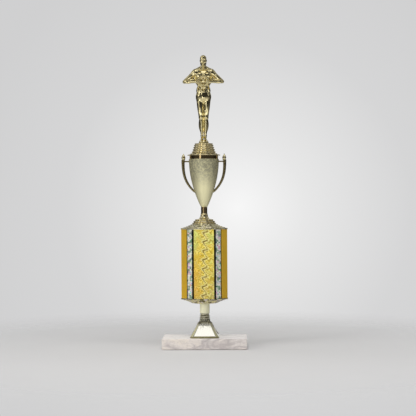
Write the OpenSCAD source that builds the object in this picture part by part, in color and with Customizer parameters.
// Column trophy: marble base, flared riser, octagonal foil column, two-handled cup and standing figure.
// Millimetres, +Z up, the front faces -Y. The origin is the centre of the underside of the felt.

/* [Base] */
// Width of the marble slab
base_w = 152.4; // [120:0.1:200]
// Depth of the marble slab
base_d = 76.2; // [60:0.1:110]
// Thickness of the marble slab
base_h = 19.05; // [15:0.05:30]
// Bevel along the slab's edges
base_bevel = 0.8; // [0.3:0.1:2]
// Thickness of the felt glued under the slab
felt_h = 1; // [0.6:0.1:2]

/* [Clamp rod] */
// Diameter of the rod that clamps the stack
rod_d = 6.35; // [5:0.05:8]
// Radial running clearance of a part that turns on the rod or the figure stud
turn_gap = 0.05; // [0.02:0.01:0.1]
// Gap left between two parts that turn against each other
face_gap = 0.3; // [0.2:0.05:0.5]

/* [Riser] */
// Width of the riser's square foot
riser_w = 52; // [44:0.5:60]
// Height of the riser
riser_h = 43; // [36:0.5:50]
// Height of its pyramid, below the round neck
riser_skirt_h = 29; // [22:0.5:32]
// Diameter of the spacer tube above the riser
spacer_d = 17.6; // [15:0.1:19]
// Height of the spacer tube
spacer_h = 18.1; // [12:0.1:30]

/* [Column] */
// Width of the octagonal column across its flats
column_w = 83; // [70:0.5:95]
// Depth of the octagonal column across its flats
column_d = 64; // [50:0.5:83]
// Height of the column
column_h = 127; // [90:1:200]
// Width of the column's front face
column_face_w = 40; // [36:0.5:44]
// Wall of the column
column_wall = 2.2; // [1.6:0.1:3]
// Thickness of the foils on the column
foil_t = 0.5; // [0.3:0.05:0.8]
// Width of the patterned front foil
front_foil_w = 36; // [32:0.5:38]
// Width of each prism strip
prism_w = 11.2; // [8:0.1:12]
// Height of the sloping part of each column cap
cap_h = 8; // [6:0.5:12]
// Width of the flat top of each column cap
cap_top_w = 45; // [40:0.5:50]

/* [Cup] */
// Height of the cup's stepped foot
foot_h = 19.5; // [16:0.5:24]
// Radius of the cup's stepped foot
foot_r = 21.8; // [18:0.1:24]
// Height of the plain stem
stem_h = 11; // [8:0.5:16]
// Radius of the plain stem
stem_r = 5.8; // [5.2:0.1:7]
// Height of the bowl
bowl_h = 87; // [70:0.5:100]
// Radius of the bowl's mouth
bowl_r = 27.2; // [24:0.1:30]
// Wall of the bowl
bowl_wall = 1.3; // [1:0.1:2]
// Height of the polished collar over the bowl
collar_h = 6.3; // [4:0.1:9]
// Radius of the lid's brim
brim_r = 30; // [28:0.1:32]
// Height of the stepped lid riser
lid_riser_h = 17; // [14:0.5:22]
// Half span of the handles at their centre line
handle_r = 37.6; // [35:0.1:40]
// Depth of the handle strap, front to back
handle_d = 6; // [4:0.5:8]

/* [Figure] */
// Height of the figure from its soles to the crown of its head
figure_h = 155; // [140:0.5:160]
// Diameter of the stud that holds the figure
stud_d = 4.76; // [4:0.01:5]

/* [Hidden] */

$fn = 96;
eps = 0.01;

// Heights of the stack, from the felt up
base_z = felt_h;
riser_z = base_z + base_h;
spacer_z = riser_z + riser_h;
cap_low_z = spacer_z + spacer_h + face_gap;
column_z = cap_low_z + cap_h;
cap_high_z = column_z + column_h;
foot_z = cap_high_z + cap_h + face_gap;
stem_z = foot_z + foot_h;
bowl_z = stem_z + stem_h;
collar_z = bowl_z + bowl_h;
brim_z = collar_z + collar_h;
brim_h = 5;
lid_riser_z = brim_z + brim_h;
mound_z = lid_riser_z + lid_riser_h + face_gap;
mound_h = 5.5;
sole_z = mound_z + mound_h;

// Clamp rod hardware: a nut and a washer at each end
rod_r = rod_d / 2;
turn_r = rod_r + turn_gap;
loose_r = rod_r + 0.35;
counterbore_r = 14;
counterbore_h = 9.5;
washer_r = 11;
washer_h = 1.4;
nut_r = 6.42;
nut_h = 5.6;
bowl_floor_h = 12;
bowl_floor_z = bowl_z + bowl_floor_h;
top_washer_r = 7;
rod_end = 1.5;
rod_low_z = base_z + counterbore_h - washer_h - nut_h - rod_end;
rod_high_z = bowl_floor_z + face_gap + washer_h + nut_h + rod_end;

// Cut corners of the riser, as a share of its width
riser_corner = 0.08;

// Column caps: the lip stands proud of the foils, and the plug goes inside the tube
cap_lip = 0.7;
cap_lip_h = 1.4;
cap_plug_h = 5;
cap_wall = 1.8;

// Column strips: the corner where the front face ends, and the sloping face beside it
corner_x = column_face_w / 2;
corner_cut = (column_w - column_face_w) / 2;
prism_start = 2.6;
trim_w = 3.3;
wrap_start = prism_start + prism_w + trim_w;
wrap_y = -column_d / 2 + wrap_start * sin(45);

// Cup outline: the bowl opens as a quarter wave, a little fuller below, from the stem to the mouth
bowl_low_r = 5.5;
bowl_fullness = 0.9;
bowl_steps = 30;
collar_r = 26.1;
finial_h = 11.6;
finial_r = 3.6;
link_h = 2.4;
handle_top_z = collar_z - 1.6;
handle_fall = 70.2;
handle_end = 0.88;
handle_steps = 24;
link_z = handle_top_z - 2.6;
rivet_low_z = handle_top_z - 0.82 * handle_fall;
rivet_r = 0.6;
rivet_head_t = 1;

// Figure hardware under its feet
stud_r = stud_d / 2;
insert_r = 3.6;
insert_h = 6.4;
stud_head_r = 4.6;
stud_head_h = 3.2;
lid_top_t = 3;

function bowl_radius(t) = bowl_low_r + (bowl_r - bowl_low_r) * sin(90 * pow(t, bowl_fullness));
function handle_x(t, grow) = (handle_r + grow) * (1 - pow(t, 3));
function handle_y(t, grow) = -(handle_fall + grow) * t;
function handle_half(t) = 2.85 - 1.1 * t / handle_end;

// A flat ring that stands on z = 0
module ring(r_out, r_in, h) {
    difference() {
        cylinder(r = r_out, h = h);
        translate([0, 0, -1])
            cylinder(r = r_in, h = h + 2);
    }
}

// A hexagon nut with its bore
module hex_nut(r_corner, r_in, h) {
    difference() {
        cylinder(r = r_corner, h = h, $fn = 6);
        translate([0, 0, -1])
            cylinder(r = r_in, h = h + 2);
    }
}

// A rectangle with cut corners, the plan of the column, its caps and the riser
module octagon(w, d, cut) {
    a = w / 2;
    b = d / 2;
    polygon([[a, b - cut], [a - cut, b], [-a + cut, b], [-a, b - cut], [-a, -b + cut],
        [-a + cut, -b], [a - cut, -b], [a, -b + cut]]);
}

// The column's plan, drawn in from its outside by a distance
module column_plan(inset) {
    octagon(column_w - 2 * inset, column_d - 2 * inset, corner_cut - inset * (2 - sqrt(2)));
}

// A block with bevels along all its edges
module bevelled_block(w, d, h, bevel) {
    intersection() {
        linear_extrude(h)
            bevelled_outline(w, d, bevel);
        translate([0, d / 2, h / 2])
            rotate([90, 0, 0])
                linear_extrude(d)
                    bevelled_outline(w, h, bevel);
        translate([-w / 2, 0, h / 2])
            rotate([90, 0, 90])
                linear_extrude(w)
                    bevelled_outline(d, h, bevel);
    }
}

module bevelled_outline(w, d, bevel) {
    a = w / 2;
    b = d / 2;
    polygon([[a - bevel, b], [-a + bevel, b], [-a, b - bevel], [-a, -b + bevel],
        [-a + bevel, -b], [a - bevel, -b], [a, -b + bevel], [a, b - bevel]]);
}

module felt_sheet() {
    inset = 2;
    color("lightgray")
        translate([-base_w / 2 + inset, -base_d / 2 + inset, 0])
            cube([base_w - 2 * inset, base_d - 2 * inset, felt_h]);
}

module marble_base() {
    color("gainsboro")
        difference() {
            translate([0, 0, base_z])
                bevelled_block(base_w, base_d, base_h, base_bevel);
            cylinder(r = loose_r, h = riser_z + 1);
            translate([0, 0, base_z - 1])
                cylinder(r = counterbore_r, h = counterbore_h + 1);
        }
}

module base_washer() {
    color("silver")
        translate([0, 0, base_z + counterbore_h - washer_h])
            ring(washer_r, loose_r, washer_h);
}

module base_nut() {
    color("silver")
        translate([0, 0, base_z + counterbore_h - washer_h - nut_h])
            hex_nut(nut_r, rod_r, nut_h);
}

module clamp_rod() {
    color("silver")
        translate([0, 0, rod_low_z])
            cylinder(r = rod_r, h = rod_high_z - rod_low_z);
}

module top_washer() {
    color("silver")
        translate([0, 0, bowl_floor_z + face_gap])
            ring(top_washer_r, loose_r, washer_h);
}

module top_nut() {
    color("silver")
        translate([0, 0, bowl_floor_z + face_gap + washer_h])
            hex_nut(nut_r, rod_r, nut_h);
}

// A flared pyramid with cut corners between a wide foot and the neck
module riser_pyramid(w_low, w_high, h) {
    hull() {
        linear_extrude(eps)
            octagon(w_low, w_low, riser_corner * w_low);
        translate([0, 0, h - eps])
            linear_extrude(eps)
                octagon(w_high, w_high, riser_corner * w_high);
    }
}

// One sunk panel on the riser's sloping face
module riser_panel(w_low, w_high, h) {
    sunk = 0.9;
    rim = 1.8;
    slope = atan((w_low - w_high) / 2 / h);
    length = h / cos(slope);
    foot_half = w_low / 2 * (1 - 2 * riser_corner) - rim;
    top_half = w_high / 2 * (1 - 2 * riser_corner) - rim / 2;
    translate([0, -w_low / 2, 0])
        rotate([90 - slope, 0, 0])
            translate([0, 0, -sunk])
                linear_extrude(2 * sunk)
                    polygon([[-foot_half, rim], [foot_half, rim], [top_half, length - 1],
                        [-top_half, length - 1]]);
}

module riser() {
    neck_low_w = 20;
    plate_h = 2;
    wall = 2;
    skirt_w = riser_w - 1.5;
    neck_z = riser_skirt_h + plate_h;
    color("gold")
        translate([0, 0, riser_z])
            difference() {
                union() {
                    linear_extrude(plate_h)
                        octagon(riser_w, riser_w, riser_corner * riser_w);
                    difference() {
                        translate([0, 0, plate_h - eps])
                            riser_pyramid(skirt_w, neck_low_w, riser_skirt_h);
                        for (turn = [0 : 90 : 270])
                            rotate(turn)
                                translate([0, 0, plate_h])
                                    riser_panel(skirt_w, neck_low_w, riser_skirt_h);
                    }
                    translate([0, 0, neck_z - 2])
                        rotate_extrude()
                            riser_neck_outline(riser_h - neck_z + 2);
                }
                translate([0, 0, -eps])
                    riser_pyramid(skirt_w - 3 * wall, neck_low_w - 2.5 * wall, riser_skirt_h);
                translate([0, 0, -1])
                    cylinder(r = loose_r, h = riser_h + 2);
            }
}

// The riser's round neck: a flared root, two beads and a plain lip
module riser_neck_outline(h) {
    lip_r = spacer_d / 2 - 0.5;
    polygon([[0, 0], [10.2, 0], [9.8, 1.6], [9.1, 3], [9.5, 3.7], [9.5, 5.2], [8.7, 6],
        [8.4, 6.9], [8.9, 7.6], [8.9, 9], [8.2, 9.8], [lip_r, 10.6], [lip_r, h], [0, h]]);
}

module spacer_tube() {
    color("khaki")
        translate([0, 0, spacer_z])
            ring(spacer_d / 2, spacer_d / 2 - 1.6, spacer_h);
}

// One column cap: a sloping octagon with a lip round the column, a plug inside it and a bore for the rod
module column_cap() {
    plug_inset = foil_t + column_wall + 0.1;
    top_cut = cap_top_w * (1 - sqrt(0.5));
    difference() {
        union() {
            hull() {
                linear_extrude(1)
                    column_plan(-cap_lip);
                translate([0, 0, cap_h - eps])
                    linear_extrude(eps)
                        octagon(cap_top_w, cap_top_w, top_cut);
            }
            translate([0, 0, -cap_lip_h])
                linear_extrude(cap_lip_h + eps)
                    difference() {
                        column_plan(-cap_lip);
                        column_plan(0);
                    }
            translate([0, 0, -cap_plug_h])
                linear_extrude(cap_plug_h + eps)
                    difference() {
                        column_plan(plug_inset);
                        column_plan(plug_inset + cap_wall);
                    }
        }
        hull() {
            translate([0, 0, -eps])
                linear_extrude(eps)
                    column_plan(plug_inset + cap_wall);
            translate([0, 0, cap_h - 2 * cap_wall])
                linear_extrude(eps)
                    octagon(cap_top_w - 4 * cap_wall, cap_top_w - 4 * cap_wall, top_cut - cap_wall);
        }
        translate([0, 0, -cap_plug_h - 1])
            cylinder(r = turn_r, h = cap_plug_h + cap_h + 2);
    }
}

module bottom_cap() {
    color("gold")
        translate([0, 0, column_z])
            mirror([0, 0, 1])
                column_cap();
}

module top_cap() {
    color("gold")
        translate([0, 0, cap_high_z])
            column_cap();
}

module column_tube() {
    color("black")
        translate([0, 0, column_z])
            linear_extrude(column_h)
                difference() {
                    column_plan(foil_t);
                    column_plan(foil_t + column_wall);
                }
}

module front_foil() {
    color("goldenrod")
        translate([-front_foil_w / 2, -column_d / 2, column_z])
            cube([front_foil_w, foil_t, column_h]);
}

// A prism strip on the sloping face to the right of the front face
module prism_strip() {
    translate([corner_x, -column_d / 2, column_z])
        rotate(45)
            translate([prism_start, 0, 0])
                cube([prism_w, foil_t, column_h]);
}

module right_prism_strip() {
    color("silver")
        prism_strip();
}

module left_prism_strip() {
    color("silver")
        mirror([1, 0, 0])
            prism_strip();
}

module wrap_foil() {
    color("darkgoldenrod")
        translate([0, 0, column_z])
            linear_extrude(column_h)
                difference() {
                    column_plan(0);
                    column_plan(foil_t);
                    translate([-column_w, -column_w])
                        square([2 * column_w, column_w + wrap_y]);
                }
}

module cup_foot() {
    color("gold")
        translate([0, 0, foot_z])
            difference() {
                rotate_extrude()
                    cup_foot_outline();
                translate([0, 0, -1])
                    cylinder(r = turn_r, h = foot_h + 2);
                translate([0, 0, -eps])
                    cylinder(r1 = foot_r - 3.4, r2 = 9, h = 5.6);
            }
}

// Stepped bell: three beads that narrow to a flared neck
module cup_foot_outline() {
    polygon([[0, 0], [foot_r, 0], [foot_r + 0.3, 1], [foot_r - 0.2, 2], [foot_r - 1.8, 2.4],
        [foot_r - 1.7, 3.6], [foot_r - 2.6, 4.8], [foot_r - 4.4, 5.3], [foot_r - 4.3, 6.4],
        [foot_r - 5.2, 7.4], [foot_r - 7.4, 8.1], [12.8, 8.9], [11, 10.1], [9.1, 12], [7.8, 14],
        [6.9, 15.8], [6.5, 16.8], [6.5, 18.2], [6.2, foot_h], [0, foot_h]]);
}

module cup_stem() {
    color("peru")
        translate([0, 0, stem_z])
            ring(stem_r, loose_r, stem_h);
}

module cup_bowl() {
    wall_low = bowl_floor_h / bowl_h;
    outer = [for (i = [0 : bowl_steps]) [bowl_radius(i / bowl_steps), bowl_h * i / bowl_steps]];
    inner = [for (i = [bowl_steps : -1 : 0])
        let (t = wall_low + (1 - wall_low) * i / bowl_steps)
        [bowl_radius(t) - bowl_wall, bowl_h * t]];
    color("khaki")
        translate([0, 0, bowl_z])
            difference() {
                rotate_extrude()
                    polygon(concat([[0, 0]], outer, inner, [[0, bowl_floor_h]]));
                translate([0, 0, -1])
                    cylinder(r = turn_r, h = bowl_floor_h + 2);
                translate([0, 0, -bowl_z])
                    at_rivets()
                        rivet_shank($rivet_z);
            }
}

module cup_collar() {
    color("gold")
        translate([0, 0, collar_z])
            ring(collar_r, collar_r - 1.3, collar_h);
}

// Strap outline between two cubic curves that draw in towards the bowl
module handle_outline() {
    outer = [for (i = [0 : handle_steps])
        let (t = handle_end * i / handle_steps)
        [handle_x(t, handle_half(t)), handle_y(t, handle_half(t))]];
    inner = [for (i = [handle_steps : -1 : 0])
        let (t = handle_end * i / handle_steps)
        [handle_x(t, -handle_half(t)), handle_y(t, -handle_half(t))]];
    polygon(concat(outer, inner));
}

module handle() {
    link_low_x = bowl_radius((link_z - bowl_z) / bowl_h);
    difference() {
        union() {
            translate([0, handle_d / 2, handle_top_z])
                rotate([90, 0, 0])
                    linear_extrude(handle_d)
                        handle_outline();
            translate([link_low_x - 1, -1.5, link_z - link_h / 2])
                cube([handle_r - link_low_x - 0.5, 3, link_h]);
            translate([handle_r - 0.5, 0, handle_top_z - eps])
                rotate_extrude()
                    finial_outline();
        }
        bowl_space();
        rivet_shank(link_z);
        rivet_shank(rivet_low_z);
    }
}

// The room the bowl takes up, cut from the handles so that they meet it
module bowl_space() {
    translate([0, 0, bowl_z])
        rotate_extrude()
            polygon(concat([[0, 0]],
                [for (i = [0 : bowl_steps]) [bowl_radius(i / bowl_steps), bowl_h * i / bowl_steps]],
                [[0, bowl_h]]));
}

// Bud-shaped finial, wide at its foot and closing to a soft point
module finial_outline() {
    steps = 12;
    bud = [for (i = [0 : steps])
        let (t = i / steps)
        [0.35 + (finial_r - 0.35) * sin(180 * pow(1 - t, 1.35) * 0.62 + 9), finial_h * t]];
    polygon(concat([[0, 0]], bud, [[0, finial_h]]));
}

module right_handle() {
    color("gold")
        handle();
}

module left_handle() {
    color("gold")
        mirror([1, 0, 0])
            handle();
}

// Four rivets through the bowl: one behind each link and one at each handle's lower end
module handle_rivets() {
    color("silver")
        at_rivets()
            rivet($rivet_z);
}

module at_rivets() {
    for (side = [0, 180])
        rotate(side)
            for ($rivet_z = [link_z, rivet_low_z])
                children();
}

// The shank of one rivet, from the inside of the bowl into the handle
module rivet_shank(z) {
    r_in = bowl_radius((z - bowl_z) / bowl_h) - bowl_wall;
    translate([r_in - rivet_head_t, 0, z])
        rotate([0, 90, 0])
            cylinder(r = rivet_r, h = rivet_head_t + bowl_wall + 2.2);
}

module rivet(z) {
    r_in = bowl_radius((z - bowl_z) / bowl_h) - bowl_wall;
    rivet_shank(z);
    translate([r_in - rivet_head_t, 0, z])
        rotate([0, 90, 0])
            cylinder(r = 1.5, h = rivet_head_t);
}

module lid_brim() {
    color("gold")
        translate([0, 0, brim_z])
            rotate_extrude()
                polygon([[stud_head_r + 3, 0], [collar_r, 0], [brim_r, 0.4], [brim_r, 1.3],
                    [26.6, 2.3], [23.6, 3.7], [21.8, brim_h], [stud_head_r + 3, brim_h]]);
}

module lid_riser() {
    hollow_r = 14;
    stud_gap = 0.1;
    color("gold")
        translate([0, 0, lid_riser_z])
            difference() {
                rotate_extrude()
                    lid_riser_outline();
                translate([0, 0, -1])
                    cylinder(r = hollow_r, h = lid_riser_h - lid_top_t + 1);
                cylinder(r = stud_r + stud_gap, h = lid_riser_h + 1);
            }
}

// Stepped riser with four beads, widest below
module lid_riser_outline() {
    polygon([[0, 0], [21.6, 0], [21.9, 1.2], [21.3, 2.4], [20.1, 2.9], [20.4, 4.4], [19.9, 5.9],
        [19.1, 6.5], [19.4, 8.2], [18.8, 9.8], [18, 10.4], [18.3, 12.2], [17.8, 13.8], [17, 14.4],
        [17.3, 15.6], [16.8, lid_riser_h], [0, lid_riser_h]]);
}

module figure_stud() {
    head_z = lid_riser_z + lid_riser_h - lid_top_t - stud_head_h;
    color("silver") {
        translate([0, 0, head_z])
            cylinder(r = stud_head_r, h = stud_head_h, $fn = 6);
        translate([0, 0, head_z + eps])
            cylinder(r = stud_r, h = stud_head_h + lid_top_t + face_gap + insert_h - 1);
    }
}

module figure_insert() {
    color("peru")
        translate([0, 0, mound_z])
            ring(insert_r, stud_r + turn_gap, insert_h);
}

// A tapered limb between two points, given with z above the soles
module limb(a, b, ra, rb) {
    hull() {
        translate(a)
            sphere(r = ra, $fn = 20);
        translate(b)
            sphere(r = rb, $fn = 20);
    }
}

module figure() {
    h = figure_h;
    color("gold")
        difference() {
            union() {
                translate([0, 0, mound_z])
                    scale([1, 1.25, 1])
                        cylinder(r1 = 9.4, r2 = 7.6, h = mound_h + 1, $fn = 48);
                translate([0, 0, sole_z]) {
                    limb([0, -0.6, 0.955 * h], [0, -1.4, 0.905 * h], 0.045 * h, 0.034 * h);
                    limb([0, 0, 0.89 * h], [0, 1.5, 0.80 * h], 0.028 * h, 0.05 * h);
                    figure_torso(h);
                    figure_side(h);
                    mirror([1, 0, 0])
                        figure_side(h);
                    translate([0, -15.5, 0.665 * h])
                        rotate([90, 0, 0])
                            rotate_extrude($fn = 40)
                                translate([0.055 * h, 0])
                                    circle(r = 1.9, $fn = 14);
                }
            }
            translate([0, 0, mound_z - 1])
                cylinder(r = insert_r, h = insert_h + 1, $fn = 48);
        }
}

module figure_torso(h) {
    hull()
        for (side = [-1, 1]) {
            translate([side * 0.075 * h, 0, 0.775 * h])
                sphere(r = 0.052 * h, $fn = 20);
            translate([side * 0.03 * h, -0.8, 0.62 * h])
                sphere(r = 0.045 * h, $fn = 20);
        }
    hull()
        for (side = [-1, 1]) {
            translate([side * 0.03 * h, -0.8, 0.62 * h])
                sphere(r = 0.045 * h, $fn = 20);
            translate([side * 0.04 * h, 1, 0.51 * h])
                sphere(r = 0.052 * h, $fn = 20);
        }
}

// One arm and one leg on the +X side
module figure_side(h) {
    shoulder = [0.105 * h, 0, 0.79 * h];
    elbow = [0.215 * h, -3, 0.69 * h];
    hand = [0.035 * h, -14.5, 0.665 * h];
    hip = [0.043 * h, 0.8, 0.48 * h];
    knee = [0.027 * h, -0.6, 0.25 * h];
    calf = [0.028 * h, 1.6, 0.18 * h];
    ankle = [0.018 * h, 1.4, 0.06 * h];
    limb(shoulder, elbow, 0.043 * h, 0.024 * h);
    limb(elbow, hand, 0.024 * h, 0.018 * h);
    limb(hip, knee, 0.05 * h, 0.027 * h);
    limb(knee, calf, 0.026 * h, 0.031 * h);
    limb(calf, ankle, 0.031 * h, 0.016 * h);
    limb(ankle, [0.03 * h, -9, 0.014 * h], 0.02 * h, 0.013 * h);
}

felt_sheet();
marble_base();
base_washer();
base_nut();
clamp_rod();
riser();
spacer_tube();
top_washer();
top_nut();
bottom_cap();
column_tube();
front_foil();
left_prism_strip();
right_prism_strip();
wrap_foil();
top_cap();
cup_foot();
cup_stem();
cup_bowl();
cup_collar();
left_handle();
right_handle();
handle_rivets();
lid_brim();
lid_riser();
figure_stud();
figure_insert();
figure();
